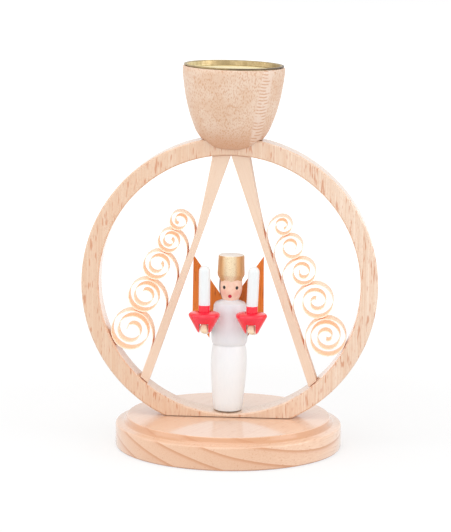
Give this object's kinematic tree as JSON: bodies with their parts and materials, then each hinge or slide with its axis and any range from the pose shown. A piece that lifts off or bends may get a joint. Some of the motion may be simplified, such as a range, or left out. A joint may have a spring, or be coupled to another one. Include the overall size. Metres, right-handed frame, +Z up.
{
  "type": "wooden angel candle holder",
  "caption": "Table candle holder: a wooden ring on a turned base, a cup for a tea light on top, and inside it a turned angel with candles between two struts with curled shavings.",
  "frame": {"origin": "centre of the base plate's underside", "axes": "+Z up through the base plate and the top of the ring, +X to the right across the ring as the angel is seen from the front, -Y towards the viewer"},
  "size_m": [0.125, 0.096, 0.1626],
  "materials": {
    "beech": "bare steamed beech, sanded smooth",
    "lime_wood": "bare lime wood, cut with a chisel",
    "brass": "bright pressed brass",
    "white_paint": "wood with white satin paint",
    "red_paint": "wood with red gloss paint",
    "orange_stain": "thin wood, stained orange"
  },
  "bodies": {
    "root": {"base_plate": "beech", "ring": "beech", "candle_cup": "beech", "cup_insert": "brass", "curl_strut_left": "lime_wood", "curl_strut_right": "lime_wood", "angel_figure": "white_paint", "angel_wings": "orange_stain", "arm_left": "white_paint", "arm_right": "white_paint", "candle_socket_left": "red_paint", "candle_socket_right": "red_paint", "candle_left": "white_paint", "candle_right": "white_paint"}
  },
  "joints": []
}
